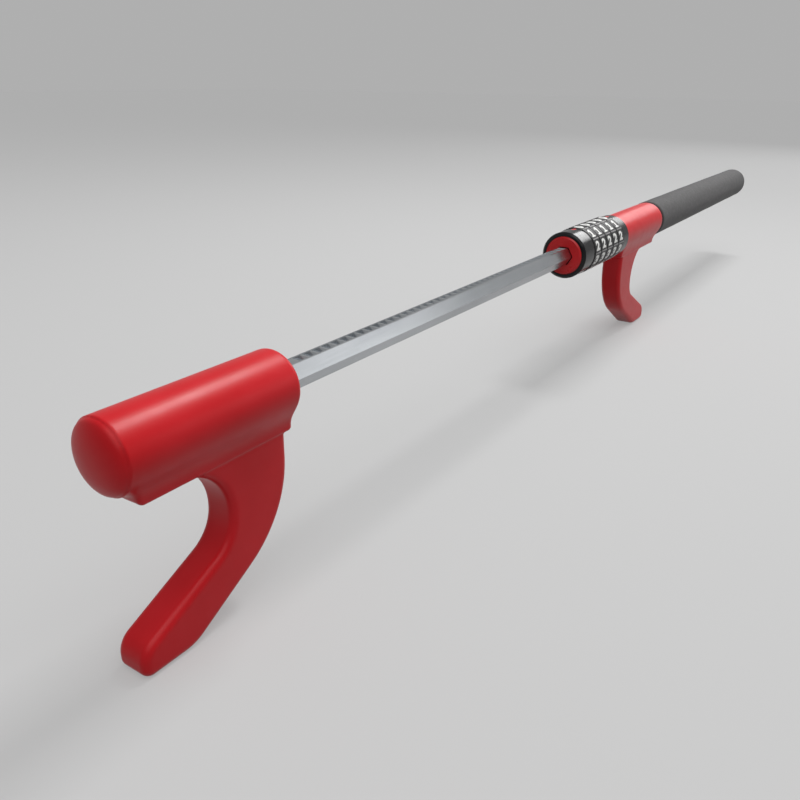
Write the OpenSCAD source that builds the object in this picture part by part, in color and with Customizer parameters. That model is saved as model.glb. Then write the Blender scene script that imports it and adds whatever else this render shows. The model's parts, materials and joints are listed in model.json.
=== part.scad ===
// Telescoping steering wheel lock with two hooks and a five-dial combination head.
// All stations run along X from the rim plane of the front barrel.
// The finished part stands on its two hook tips, with its origin under its middle.

/* [Front end] */
// Radius of the red front barrel
front_r = 14; // [13:0.5:17]
// Length of the front barrel behind its rim plane
front_len = 79.5; // [74:0.5:100]
// How far the domed nose stands out of the rim plane
dome_h = 4.5; // [2:0.5:6]

/* [Hooks] */
// Width of the hooks across the part
hook_w = 15.5; // [14:0.5:20]
// Distance from the bar axis down to the flat bottom of each keel
keel_drop = 18.3; // [17:0.1:22]
// How far each hook reaches below its keel
hook_depth = 67.5; // [60:0.5:80]
// How far each hook reaches along the bar
hook_reach = 77; // [70:0.5:90]
// Distance along the bar from a hook's flat back to the flat under its tip
belly_reach = 53.5; // [48:0.5:60]
// Thickness of the hook's stem along the bar
stem_w = 31; // [27:0.5:34]
// Height of the hook's arm at its tip
arm_h = 11.5; // [11:0.5:16]
// Drop of the stem's outer corner below the keel
shoulder_drop = 36.5; // [32:0.5:40]
// Thickness of the steel hook plates
plate_t = 8; // [5:0.5:10]
// Thickness of the red coat around the edge of a hook plate
coat_t = 4; // [3:0.5:5]

/* [Bar] */
// Size of the hexagonal bar across its flats
bar_af = 11; // [9:0.1:11.5]
// Distance between two lock pockets along the bar
pitch = 6; // [5:0.5:7]
// Depth of a lock pocket
pocket_depth = 1.4; // [1.2:0.1:1.6]
// Width of a lock pocket across the bar
pocket_w = 4.4; // [4.2:0.1:4.8]
// Bar length that shows between the front barrel and the lock head
bar_show = 283.5; // [230:0.5:345]

/* [Lock head] */
// Radius of the two black collars
collar_r = 15.6; // [15.2:0.1:18]
// Length of the front collar
collar_len = 18; // [16:0.5:24]
// Length of the rear collar
rear_collar_len = 12; // [12:0.5:16]
// Radius of the numbered dials
dial_r = 16; // [15.6:0.1:19]
// Space that one dial takes along the bar
dial_pitch = 11.6; // [11.4:0.1:14]
// Gap between two dials
dial_gap = 0.3; // [0.2:0.05:0.5]
// How many dials the lock has
dial_count = 5; // [3:1:5]
// Radius of the red face disc
face_r = 12.8; // [12:0.1:13.2]

/* [Lock core] */
// Wall of the core sleeve at the corners of its hexagonal bore
sleeve_wall = 1.8; // [1.6:0.1:2]
// Running clearance between the sleeve and what turns on it
run_fit = 0.1; // [0.05:0.01:0.1]
// Clearance of the bar in the hexagonal bores, on each side
bar_fit = 0.4; // [0.2:0.05:0.5]
// How far the locking fence travels
fence_travel = 5.8; // [4.8:0.1:5.8]
// Drop of the pawl for each millimetre of fence travel
slot_slope = 0.24; // [0.2:0.01:0.24]

/* [Rear end] */
// Radius of the red rear housing
housing_r = 14.4; // [14:0.1:18]
// Length of the rear housing
housing_len = 92; // [88:1:120]
// Distance from the housing's front to the front of its keel
keel_setback = 11; // [8:0.5:12]
// Radius of the foam grip
grip_r = 14.8; // [13:0.1:18]
// Length of the foam grip, with its round end
grip_len = 331; // [270:1:420]
// Outer radius of the handle tube
tube_r = 9.8; // [9:0.1:10.2]
// Least wall of the handle tube
tube_wall = 1.2; // [1:0.1:1.2]

/* [Hidden] */
$fn = 64;
fine_sides = 256;      // for a small piece cut from a large round
small = 0.05;          // clearance of pieces that sit in each other, and how far a cut runs past a face
far = 100;             // longer than anything it cuts
arc_steps = 12;        // straight pieces on a rounded corner of an outline
digits = 10;           // positions of a dial
step_deg = 360 / digits;
black = [0.08, 0.08, 0.09];

// Stations of the front end
coat_wall = 2.4;
hub_front = 4;
hub_r = front_r - coat_wall;
hub_end = front_len - 2;
bar_front = hub_front + 4;
hook_back = 3.5;       // how far a keel runs past the hook's flat back
keel_lead = 5.5;       // how far the front keel starts behind the rim plane
keel_side = 0.5;       // how far a keel stands out beside its hook
keel_skin = 0.3;       // how far the hook's own slab stays inside the keel
front_hook_x = front_len - hook_back;
rim_round = 0.6;       // of the front rim, around the dome
edge_round = 2.5;      // of the barrel's rear edge and the keels' ends
front_pin_r = 2;
front_pin_short = 0.7; // how far the pins stay inside the hub
front_pin_in = 20;     // distance of each pin from the near end of the hub
front_pin_x = [hub_front + front_pin_in, hub_end - front_pin_in];

// Radii of the corners in the side view of a keel and its hook
stem_drop = shoulder_drop - 3.5;
keel_fillet_r = stem_drop * 2 / 3;  // from the keel's underside into the stem
arm_fillet_r = stem_drop / 2;       // from the stem into the arm
tip_top_r = 9;
tip_r = 4;
belly_r = 18;                       // from the flat under the tip into the outer slope
shoulder_r = shoulder_drop * 5 / 4; // from the outer slope into the flat back
back_r = 1;                         // from the flat back into the keel's underside
hook_end_r = edge_round - keel_skin; // of the hook's own slab at the keel's two ends
inset_min_r = 0.5;     // an inset outline's corners stay at least this round

// Stations of the lock head
face_x = front_len + bar_show;
face_t = 3;
face_bevel = 1;
seal_t = 2;
seal_fit = 0.15;
drill_t = 2;
collar_bevel = 1.2;
edge_bevel = 0.4;      // broken edges of the collars
collar_x = face_x + 0.8;
sleeve_x = face_x + face_t + seal_t + drill_t;
dials_x = face_x + collar_len;
dials_end = dials_x + dial_count * dial_pitch;
rear_collar_x = dials_end + 0.2;
housing_x = dials_end + rear_collar_len;
housing_end = housing_x + housing_len;
rear_hook_x = housing_x + keel_setback + hook_back;

// Red index marks in the top of both collars
mark_len = 5.5;
mark_w = 2.2;
mark_t = 0.8;
mark_gap = 0.4;

// Grub screws in the underside of both collars
set_screw_r = 2;
set_screw_bite = 0.7;
set_screw_sink = 0.5;
socket_depth = 2;
front_screw_x = (sleeve_x + dials_x) / 2;
rear_screw_x = rear_collar_x + 7;

// The sleeve, and the code rings that turn on it inside the dials
sleeve_bore_af = bar_af + 2 * bar_fit;
sleeve_r = sleeve_bore_af / sqrt(3) + sleeve_wall;
ring_bore_r = sleeve_r + run_fit;
ring_end_gap = 0.25;
ring_len = dial_pitch - 2 * ring_end_gap;
fin_t = 2;
fin_gap = 0.4;
fin_w = 3;
fin_top = sleeve_r + 2.2;
groove_r = fin_top + fin_gap;
groove_len = fin_t + 2 * fin_gap;
groove_b = 1.6;
land_x = groove_b + groove_len;
land_len = fence_travel - groove_len;
groove_a = land_x + land_len;
gate_w = fin_w + 2 * fin_gap;
gate_top = fin_top + 0.2;
ring_r = groove_r + 1.2;
notch_r = 0.6;
key_w = 2.4;
key_h = 1;
key_end = 1;           // how far the key stays away from the ring's sides
key_fit = 0.1;
washer_half = 0.2;
washer_r = ring_r - 0.6;

// The dials
dial_bore_r = ring_r + key_fit;
dial_len = dial_pitch - dial_gap;
ridge_w = 0.9;
ridge_h = 0.3;
ridge_end = 0.9;       // how far a ridge stays away from the dial's sides
rib_root = 0.5;        // how deep a rib starts inside its dial
dial_bevel = 0.5;

// The click spring under the sleeve
click_x = dials_x + 2;
click_end = dials_end - 1;
click_w = 3;
click_t = 0.5;
click_floor = sleeve_r - 1.6;
bump_r = 0.7;

// The fence in the top of the sleeve, and the pawl in its fork
spine_w = 3.8;
spine_lead = 1;        // how far the spine starts in front of the first fin
spine_z = sleeve_r - 1.6;
spine_top = sleeve_r - 0.3;
fork_in = 2.1;
fork_out = 3.1;
fork_z = sleeve_r + 0.2;
fork_top = fork_z + 3.6;
block_t = 3;
block_x = housing_x - block_t;
pawl_x = housing_x + 7;
pawl_t = 4;
pawl_mid = pawl_x + pawl_t / 2;
pawl_w = 3.8;
pawl_tip = bar_af / 2 + 0.2;
pawl_drop = fence_travel * slot_slope;
pin_r = 0.6;
pawl_over_pin = 0.4;   // pawl left over its pin's hole
pin_out = 0.2;         // how far the pin stands out of the fork
slot_fit = 0.05;
pin_z = fork_top - 0.5 - pin_r - slot_fit;
fork_bar = 1.2;
fork_end = pawl_x + pawl_t + 0.2 + fence_travel + fork_bar;
cavity_w = 2 * fork_out + 0.8;
cavity_top = fork_top + 0.3;
cavity_x = rear_collar_x + 2.2;
spring_len = 9;
cavity_end = fork_end + spring_len;
spring_r = 1.4;
wire_r = 0.25;
coil_turns = 7;

// The rear end
rear_round = 4;
front_bevel = 0.6;
grip_x = housing_end + 0.3;
grip_end = grip_x + grip_len;
rear_hub_r = housing_r - coat_wall;
rear_hub_x = housing_x + 0.5;
rear_hub_end = housing_end - 3;
sleeve_end = rear_hub_end - 40;
sleeve_pin_r = 1.25;
sleeve_pin_x = sleeve_end - 12;
sleeve_pin_z = 0.2 - sleeve_r;
sleeve_pin_half = sqrt(pow(rear_hub_r, 2) - pow(sleeve_pin_r - sleeve_pin_z, 2)) - small;
rivet_r = 2.5;
rivet_x = sleeve_end + 20;
tube_seat = 0.2;       // how far the tube's front end overlaps the end of the sleeve that it stands on
tube_bore_r = min(tube_r - tube_wall, sleeve_r - tube_seat);
tube_end = grip_end - 8;
plug_lip = 1.5;
plug_min = 10;

// Shape of a lock pocket and of the pawl's tooth along the bar
pocket_half = 2.1;
pocket_slope = 0.6;
tooth_half = 1.8;
tooth_slope = 0.3;

// The tail of the bar. Its bush meets the sleeve when the bar is pulled right out,
// and its screw meets the plug when the bar is pushed right in, both at a pocket.
extend_pitches = 3;
stop_gap = 0.3;
bush_len = 14;
bush_bevel = 0.6;
tail_x = sleeve_end + extend_pitches * pitch + stop_gap;
bar_end = tail_x + bush_len;
screw_r = 2.5;
screw_len = 12;
screw_hole_spare = 1;  // how far the screw's hole runs past its end
tail_washer_t = 1.5;
tail_washer_r = tube_bore_r - 0.8;
head_r = 4.5;
head_h = 2.8;
head_bevel = 1;
socket_floor = 1;      // steel left under the screw's socket
hex_key_af = 3;
head_x = bar_end + tail_washer_t;
tail_end = head_x + head_h;
push_room = min(bar_show - 3, tube_end - plug_min - tail_end - stop_gap);
retract_pitches = floor(push_room / pitch);
plug_x = tail_end + retract_pitches * pitch + stop_gap;
pocket_count = extend_pitches + 1 + floor((pawl_mid - front_len - 10) / pitch);

// Frame: the origin lies on the ground under the middle of the whole part
axis_h = keel_drop + hook_depth;
centre_x = (grip_end - dome_h) / 2;

// ---------- shared shapes ----------

// Places a shape made along the bar axis into the part's frame
module on_axis() translate([-centre_x, 0, axis_h]) children();

// A true round bar along X
module x_cyl(r, x0, x1) translate([x0, 0, 0]) rotate([0, 90, 0]) cylinder(r = r, h = x1 - x0);

// A hexagonal bar along X with flats at the top and the bottom
module x_hex(af, x0, x1)
    translate([x0, 0, 0]) rotate([0, 90, 0]) rotate([0, 0, 90])
        cylinder(r = af / sqrt(3), h = x1 - x0, $fn = 6);

// A round bar along Y at one station
module y_cyl(r, x, z, half) translate([x, half, z]) rotate([90, 0, 0]) cylinder(r = r, h = 2 * half);

// A box given by its two corners
module box(low, high) translate(low) cube(high - low);

// A ring along X with a bevel on the outer edge at its front and its rear
module bevel_ring(r, bore, x0, x1, front_bevel, rear_bevel)
    rotate([0, 90, 0]) rotate_extrude()
        polygon([[bore, x0], [r - front_bevel, x0], [r, x0 + front_bevel], [r, x1 - rear_bevel],
            [r - rear_bevel, x1], [bore, x1]]);

// Turns a shape about the bar so that its +Z side points at an angle from the top
module around(angle) rotate([angle, 0, 0]) children();

function unit(v) = v / norm(v);
function side_of(u, w) = cross(u, w) > 0 ? 1 : -1;
function turn(v, a) = [v[0] * cos(a) - v[1] * sin(a), v[0] * sin(a) + v[1] * cos(a)];

// The points that round the corner b of a path a-b-c to radius r
function corner(a, b, c, r) =
    r == 0 ? [b] :
    let (u = unit(a - b), w = unit(c - b), half = acos(u * w) / 2,
        centre = b + unit(u + w) * r / sin(half), first = b + u * r / tan(half) - centre)
    [for (i = [0:arc_steps])
        centre + turn(first, -side_of(u, w) * (180 - 2 * half) * i / arc_steps)];

// How much of each side next to the corner b a rounding of radius r takes up
function reach_of(a, b, c, r) = r / tan(acos(unit(a - b) * unit(c - b)) / 2);

// A closed path with each corner rounded to its own radius; each entry is [x, y, radius].
// Two roundings that are too long for the side between them are made smaller to fit it.
function rounded(path) =
    let (n = len(path), p = [for (q = path) [q[0], q[1]]],
        reach = [for (i = [0:n - 1]) reach_of(p[(i + n - 1) % n], p[i], p[(i + 1) % n], path[i][2])],
        fit = [for (i = [0:n - 1]) let (j = (i + 1) % n)
            min(1, norm(p[j] - p[i]) / max(small, reach[i] + reach[j]))])
    [for (i = [0:n - 1]) let (before = (i + n - 1) % n)
        each corner(p[before], p[i], p[(i + 1) % n], path[i][2] * min(fit[before], fit[i]))];

// A closed path moved inwards by d, with the radii of its corners reduced to match
function inset(path, d) =
    let (n = len(path), p = [for (q = path) [q[0], q[1]]])
    [for (i = [0:n - 1])
        let (u = unit(p[i] - p[(i + n - 1) % n]), w = unit(p[(i + 1) % n] - p[i]),
            nu = [u[1], -u[0]], nw = [w[1], -w[0]], q = p[i] + (nu + nw) * d / (1 + nu * nw),
            r = path[i][2], outer = cross(u, w) < 0)
        [q[0], q[1], r == 0 ? 0 : max(inset_min_r, outer ? r - d : r + d)]];

// Side view of one keel and its hook: u runs from the hook's flat back towards its tip
function hook_path(front) =
    let (foot = -keel_drop - hook_depth, back = keel_skin - hook_back, ahead = front - keel_skin,
        under = keel_skin - keel_drop)
    [[back, 0, 0], [ahead, 0, 0], [ahead, under, hook_end_r],
        [stem_w, under, keel_fillet_r], [stem_w, -keel_drop - stem_drop, arm_fillet_r],
        [hook_reach, foot + arm_h, tip_top_r], [hook_reach, foot, tip_r], [belly_reach, foot, belly_r],
        [0, -keel_drop - shoulder_drop, shoulder_r], [0, under, back_r], [back, under, hook_end_r]];

// Side view of the keel alone
function keel_path(front) = [[-hook_back, 0, 0], [front, 0, 0], [front, -keel_drop, edge_round],
    [-hook_back, -keel_drop, edge_round]];

// A keel with its hook
module keel_and_hook(x, towards, front)
{
    side_slab(x, towards, keel_path(front), hook_w + 2 * keel_side);
    side_slab(x, towards, hook_path(front), hook_w);
}

// A slab of an outline in side view, as wide as given, with its tip towards -X or +X
module side_slab(x, towards, path, w)
    translate([x, 0, 0]) scale_x(towards)
        translate([0, w / 2, 0]) rotate([90, 0, 0]) linear_extrude(w) polygon(rounded(path));

// Leaves a shape as it is, or mirrors it end for end
module scale_x(towards) mirror([towards < 0 ? 1 : 0, 0, 0]) children();

// A coil spring along X, drawn as one swept wire
module coil(x0, x1, sides = 8, steps = 12)
{
    rings = coil_turns * steps;
    rise = (x1 - x0 - 2 * wire_r) / rings;
    points = [for (i = [0:rings], j = [0:sides - 1])
        let (a = 360 * i / steps, b = 360 * j / sides, reach = spring_r + wire_r * cos(b))
        [x0 + wire_r + rise * i + wire_r * sin(b), reach * cos(a), reach * sin(a)]];
    walls = [for (i = [0:rings - 1], j = [0:sides - 1])
        let (k = (j + 1) % sides)
        [i * sides + j, i * sides + k, (i + 1) * sides + k, (i + 1) * sides + j]];
    ends = [[for (j = [sides - 1:-1:0]) j], [for (j = [0:sides - 1]) rings * sides + j]];
    polyhedron(points, concat(walls, ends), convexity = 10);
}

// ---------- front end ----------

front_keel = front_hook_x - keel_lead;
rear_keel = housing_end - rear_hook_x;

// The steel inside the front coat
module front_core_space()
{
    x_cyl(hub_r, hub_front, hub_end);
    front_plate_slab();
}

module front_plate_slab()
    side_slab(front_hook_x, -1, inset(hook_path(front_keel), coat_t), plate_t);

module front_cover() color("firebrick") on_axis() difference()
{
    union()
    {
        rotate([0, 90, 0]) rotate_extrude() front_profile();
        keel_and_hook(front_hook_x, -1, front_keel);
    }
    front_core_space();
    x_hex(bar_af + 2 * small, hub_end - small, front_len + small);
}

// Half outline of the front barrel: an elliptical dome, a crisp rim and a round rear edge
module front_profile()
{
    quarter = [for (i = [0:arc_steps]) 90 * i / arc_steps];
    dome = [for (a = quarter) [(front_r - rim_round) * sin(a), -dome_h * cos(a)]];
    rim = [for (a = quarter) [front_r - rim_round + rim_round * sin(a), rim_round - rim_round * cos(a)]];
    rear = [for (a = quarter)
        [front_r - edge_round + edge_round * cos(a), front_len - edge_round + edge_round * sin(a)]];
    polygon(concat(dome, rim, rear, [[0, front_len]]));
}

module front_hub() color("gray") on_axis() difference()
{
    x_cyl(hub_r, hub_front, hub_end);
    x_hex(bar_af + 2 * small, bar_front, hub_end + small);
    front_pin_holes();
}

module front_pin_holes() for (x = front_pin_x) y_cyl(front_pin_r, x, 0, far);

module front_pins() color("silver") on_axis()
    for (x = front_pin_x) y_cyl(front_pin_r, x, 0, hub_r - front_pin_short);

module front_hook_plate() color("dimgray") on_axis() difference()
{
    front_plate_slab();
    x_cyl(hub_r, -far, far + front_len);
}

// ---------- bar ----------

module lock_bar() color("silver") on_axis() difference()
{
    x_hex(bar_af, bar_front, bar_end);
    front_pin_holes();
    for (i = [0:pocket_count - 1]) pocket(pocket_x(i));
    x_cyl(screw_r, bar_end - screw_len, bar_end + small);
}

// Pockets run forwards from the one that meets the pawl with the bar pulled right out
function pocket_x(i) = pawl_mid + (extend_pitches - i) * pitch;

// A pocket with one steep wall and one sloping wall
module pocket(x)
    translate([x, pocket_w / 2, bar_af / 2]) rotate([90, 0, 0]) linear_extrude(pocket_w)
        polygon([[-pocket_half, small], [-pocket_half, -pocket_depth],
            [pocket_half, -pocket_depth], [pocket_half + pocket_slope, small]]);

module tail_bush() color("whitesmoke") on_axis() difference()
{
    bevel_ring(tube_bore_r - run_fit, 0, tail_x, bar_end, bush_bevel, bush_bevel);
    x_hex(bar_af + 2 * small, tail_x - small, bar_end + small);
}

module tail_washer() color("silver") on_axis() difference()
{
    x_cyl(tail_washer_r, bar_end, bar_end + tail_washer_t);
    x_cyl(screw_r, bar_end - small, bar_end + tail_washer_t + small);
}

module tail_screw() color("darkgray") on_axis() difference()
{
    union()
    {
        x_cyl(screw_r, bar_end - screw_len + screw_hole_spare, head_x);
        bevel_ring(head_r, 0, head_x, tail_end, 0, head_bevel);
    }
    x_hex(hex_key_af, head_x + socket_floor, tail_end + small);
}

// ---------- lock head ----------

module face_cap() color("firebrick") on_axis() difference()
{
    bevel_ring(face_r, 0, face_x, face_x + face_t, face_bevel, 0);
    x_hex(sleeve_bore_af, face_x - small, face_x + face_t + small);
}

module wiper_seal() color("dimgray") on_axis() head_disc(face_x + face_t, seal_t, bar_af + 2 * seal_fit);

module drill_plate() color("lightsteelblue") on_axis()
    head_disc(face_x + face_t + seal_t, drill_t, sleeve_bore_af);

// A disc behind the face with a hexagonal hole for the bar
module head_disc(x, t, hole_af) difference()
{
    x_cyl(face_r, x, x + t);
    x_hex(hole_af, x - small, x + t + small);
}

module front_collar() color(black) on_axis() difference()
{
    bevel_ring(collar_r, sleeve_r + small, collar_x, dials_x, collar_bevel, edge_bevel);
    x_cyl(face_r + small, collar_x - small, sleeve_x);
    index_slot(dials_x - mark_len, dials_x);
    set_screw_hole(front_screw_x);
}

module rear_collar() color(black) on_axis() difference()
{
    bevel_ring(collar_r, sleeve_r + small, rear_collar_x, housing_x, edge_bevel, edge_bevel);
    index_slot(rear_collar_x, rear_collar_x + mark_len);
    head_cavity();
    set_screw_hole(rear_screw_x);
}

module index_slot(x0, x1)
    box([x0 - small, -mark_w / 2, collar_r - mark_t], [x1 + small, mark_w / 2, collar_r + small]);

// A red inlay that is flush with the collar's outside
module index_mark(x0, x1) intersection()
{
    box([x0, -mark_w / 2, collar_r - mark_t], [x1, mark_w / 2, collar_r + small]);
    x_cyl(collar_r, x0, x1, $fn = fine_sides);
}

module front_index_mark() color("red") on_axis()
    index_mark(dials_x - mark_len, dials_x - mark_gap);

module rear_index_mark() color("red") on_axis()
    index_mark(rear_collar_x + mark_gap, rear_collar_x + mark_len);

// The grub screws stand in the underside of each collar and bite into the sleeve
module set_screw_hole(x) grub(x, far);

// A plug of the screw's width, from a depth under the axis up into the sleeve
module grub(x, depth)
    translate([x, 0, -depth]) cylinder(r = set_screw_r, h = depth - sleeve_r + set_screw_bite);

module grub_socket(x)
    translate([x, 0, -collar_r]) cylinder(r = set_screw_r / 2, h = set_screw_sink + socket_depth, $fn = 6);

module collar_screws() color("darkgray") on_axis()
    for (x = [front_screw_x, rear_screw_x]) difference()
    {
        grub(x, collar_r - set_screw_sink);
        grub_socket(x);
    }

module core_sleeve() color("lightgray") on_axis() difference()
{
    x_cyl(sleeve_r, sleeve_x, sleeve_end);
    x_hex(sleeve_bore_af, sleeve_x - small, sleeve_end + small);
    top_cut(dials_x, housing_x + small, spine_w / 2 + run_fit, spine_z - run_fit);
    top_cut(pawl_x - run_fit, pawl_x + pawl_t + run_fit, pawl_w / 2 + run_fit, 0);
    around(180) top_cut(click_x, click_end, click_w / 2 + run_fit, click_floor);
    for (x = [front_screw_x, rear_screw_x]) set_screw_hole(x);
    sleeve_pin_hole();
}

// A slot down from above to the height z
module top_cut(x0, x1, half_w, z) box([x0, -half_w, z], [x1, half_w, far]);

// ---------- dials ----------

function ring_x(i) = dials_x + i * dial_pitch + ring_end_gap;
function dial_x(i) = dials_x + i * dial_pitch + dial_gap / 2;

// A dial: a ridge between each two digits outside, and a key slot under each digit inside
module dial(i) color(black) on_axis() translate([dial_x(i), 0, 0]) difference()
{
    union()
    {
        bevel_ring(dial_r, dial_bore_r, 0, dial_len, dial_bevel, dial_bevel);
        for (k = [0:digits - 1]) around((k + 0.5) * step_deg) rib(ridge_end, ridge_w / 2, dial_r, ridge_h);
    }
    for (k = [0:digits - 1]) around(k * step_deg)
        rib(-small, key_w / 2 + key_fit, dial_bore_r, ring_r + key_h + key_fit - dial_bore_r);
}

// A rib along a dial, from just under the radius r to the height h over it
module rib(end, half_w, r, h) box([end, -half_w, r - rib_root], [dial_len - end, half_w, r + h]);

// A code ring: two annular grooves with a land between them, a gate through the land at the top,
// notches for the click spring along the bore, and a key at the bottom
module code_ring(i) color("goldenrod") on_axis() translate([ring_x(i), 0, 0]) difference()
{
    union()
    {
        x_cyl(ring_r, 0, ring_len);
        around(180)
            box([key_end, -key_w / 2, ring_r - key_h], [ring_len - key_end, key_w / 2, ring_r + key_h]);
    }
    x_cyl(ring_bore_r, -small, ring_len + small);
    for (x = [groove_b, groove_a]) x_cyl(groove_r, x, x + groove_len);
    box([groove_b, -gate_w / 2, 0], [groove_a + groove_len, gate_w / 2, gate_top]);
    for (k = [1:digits - 1]) around(k * step_deg)
        translate([0, 0, ring_bore_r]) x_cyl(notch_r, land_x - small, groove_a + small);
}

module spacer_washers() color("silver") on_axis() for (i = [1:dial_count - 1])
    ring_washer(dials_x + i * dial_pitch - washer_half, dials_x + i * dial_pitch + washer_half);

module thrust_washer() color("silver") on_axis()
    ring_washer(dials_end - washer_half, rear_collar_x - small);

module ring_washer(x0, x1) difference()
{
    x_cyl(washer_r, x0, x1);
    x_cyl(ring_bore_r, x0 - small, x1 + small);
}

// The flat spring that clicks in the code rings, with one bump under each land
module click_spring() color("gold") on_axis() union()
{
    box([click_x + run_fit, -click_w / 2, -click_floor - click_t],
        [click_end - run_fit, click_w / 2, -click_floor]);
    for (i = [0:dial_count - 1])
        y_cyl(bump_r, ring_x(i) + land_x + land_len / 2, -click_floor - bump_r, click_w / 2);
}

// ---------- fence and pawl ----------

function fin_x(i) = ring_x(i) + groove_a + fin_gap;

module fence() color("orange") on_axis() difference()
{
    union()
    {
        box([fin_x(0) - spine_lead, -spine_w / 2, spine_z], [block_x + block_t, spine_w / 2, spine_top]);
        for (i = [0:dial_count - 1])
            box([fin_x(i), -fin_w / 2, spine_top - small], [fin_x(i) + fin_t, fin_w / 2, fin_top]);
        box([block_x, -spine_w / 2, spine_top - small], [block_x + block_t, spine_w / 2, fork_z + small]);
        box([block_x, -fork_out, fork_z], [block_x + block_t, fork_out, fork_top]);
        for (side = [fork_in, -fork_out])
            box([block_x, side, fork_z], [fork_end, side + fork_out - fork_in, fork_top]);
        box([fork_end - fork_bar, -fork_out, fork_z], [fork_end, fork_out, fork_top]);
    }
    sloping_slot();
}

// The slot that carries the pawl's pin down as the fence moves forwards
module sloping_slot()
{
    r = pin_r + slot_fit;
    y_cyl(r, pawl_mid, pin_z, far);
    y_cyl(r, pawl_mid + fence_travel, pin_z - pawl_drop, far);
    translate([pawl_mid, 0, pin_z]) rotate([0, atan(slot_slope), 0])
        box([0, -far, -r], [norm([fence_travel, pawl_drop]), far, r]);
}

module pawl() color("slategray") on_axis() difference()
{
    union()
    {
        box([pawl_x, -pawl_w / 2, pawl_tip + pawl_drop],
            [pawl_x + pawl_t, pawl_w / 2, pin_z + pin_r + pawl_over_pin]);
        translate([pawl_mid, pawl_w / 2, pawl_tip]) rotate([90, 0, 0]) linear_extrude(pawl_w)
            polygon([[-tooth_half, 0], [tooth_half - tooth_slope, 0],
                [tooth_half, pawl_drop + small], [-tooth_half, pawl_drop + small]]);
    }
    y_cyl(pin_r, pawl_mid, pin_z, far);
}

module pawl_pin() color("silver") on_axis() y_cyl(pin_r, pawl_mid, pin_z, fork_out + pin_out);

module fence_spring() color("silver") on_axis()
    translate([0, 0, (fork_z + fork_top) / 2])
        coil(fork_end + small, cavity_end - small);

// The room for the fork, the pawl and the spring, in the rear collar, the hub and the coat
module head_cavity()
    box([cavity_x, -cavity_w / 2, sleeve_r - sleeve_wall], [cavity_end, cavity_w / 2, cavity_top]);

// ---------- rear end ----------

module rear_plate_slab()
    side_slab(rear_hook_x, 1, inset(hook_path(rear_keel), coat_t), plate_t);

module rear_hub() color("gray") on_axis() difference()
{
    x_cyl(rear_hub_r, rear_hub_x, rear_hub_end);
    x_cyl(sleeve_r + small, rear_hub_x - small, sleeve_end);
    x_cyl(tube_r + small, sleeve_end - small, rear_hub_end + small);
    head_cavity();
    sleeve_pin_hole();
    rivet_holes();
}

module rear_cover() color("firebrick") on_axis() difference()
{
    union()
    {
        rotate([0, 90, 0]) rotate_extrude() rear_profile();
        keel_and_hook(rear_hook_x, 1, rear_keel);
    }
    x_cyl(rear_hub_r, rear_hub_x, rear_hub_end);
    x_cyl(sleeve_r + small, housing_x - small, rear_hub_x + small);
    x_cyl(tube_r + small, rear_hub_end - small, housing_end + small);
    rear_plate_slab();
    head_cavity();
}

// Half outline of the rear housing, with a round rear edge
module rear_profile()
{
    rear = [for (i = [0:arc_steps]) let (a = 90 * i / arc_steps)
        [housing_r - rear_round + rear_round * cos(a), housing_end - rear_round + rear_round * sin(a)]];
    polygon(concat([[0, housing_x], [housing_r - front_bevel, housing_x],
        [housing_r, housing_x + front_bevel]], rear, [[0, housing_end]]));
}

module rear_hook_plate() color("dimgray") on_axis() difference()
{
    rear_plate_slab();
    x_cyl(rear_hub_r, housing_x - far, housing_end + far);
}

// The pin that holds the sleeve in the hub passes under the bar, half in each
module sleeve_pin_hole() y_cyl(sleeve_pin_r, sleeve_pin_x, sleeve_pin_z, far);

module sleeve_pin() color("silver") on_axis()
    y_cyl(sleeve_pin_r, sleeve_pin_x, sleeve_pin_z, sleeve_pin_half);

module rivet_holes() y_cyl(rivet_r, rivet_x, 0, far);

module tube_rivets() color("silver") on_axis() intersection()
{
    rivet_holes();
    difference()
    {
        x_cyl(rear_hub_r - small, rivet_x - 2 * rivet_r, rivet_x + 2 * rivet_r);
        x_cyl(tube_bore_r + small, rivet_x - 3 * rivet_r, rivet_x + 3 * rivet_r);
    }
}

module handle_tube() color("silver") on_axis() difference()
{
    x_cyl(tube_r, sleeve_end, tube_end);
    x_cyl(tube_bore_r, sleeve_end - small, tube_end + small);
    rivet_holes();
}

module end_plug() color("dimgray") on_axis() union()
{
    x_cyl(tube_bore_r - small, plug_x, tube_end + small);
    x_cyl(tube_r, tube_end, tube_end + plug_lip);
}

module foam_grip() color([0.25, 0.25, 0.26]) on_axis() difference()
{
    union()
    {
        x_cyl(grip_r, grip_x, grip_end - grip_r);
        translate([grip_end - grip_r, 0, 0]) rotate([0, 90, 0]) sphere(grip_r);
    }
    x_cyl(tube_r + small, grip_x - small, tube_end + plug_lip + small);
}

front_cover();
front_hub();
front_hook_plate();
front_pins();
lock_bar();
tail_bush();
tail_washer();
tail_screw();
face_cap();
wiper_seal();
drill_plate();
front_collar();
front_index_mark();
rear_index_mark();
core_sleeve();
click_spring();
spacer_washers();
thrust_washer();
dial(0);  // dial_1
dial(1);  // dial_2
dial(2);  // dial_3
dial(3);  // dial_4
dial(4);  // dial_5
code_ring(0);  // code_ring_1
code_ring(1);  // code_ring_2
code_ring(2);  // code_ring_3
code_ring(3);  // code_ring_4
code_ring(4);  // code_ring_5
fence();
fence_spring();
pawl();
pawl_pin();
rear_collar();
collar_screws();
rear_hub();
rear_cover();
rear_hook_plate();
sleeve_pin();
tube_rivets();
handle_tube();
foam_grip();
end_plug();
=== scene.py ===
import json
import math
from itertools import product

import bmesh
import bpy
import numpy as np
from mathutils import Matrix, Vector

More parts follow.
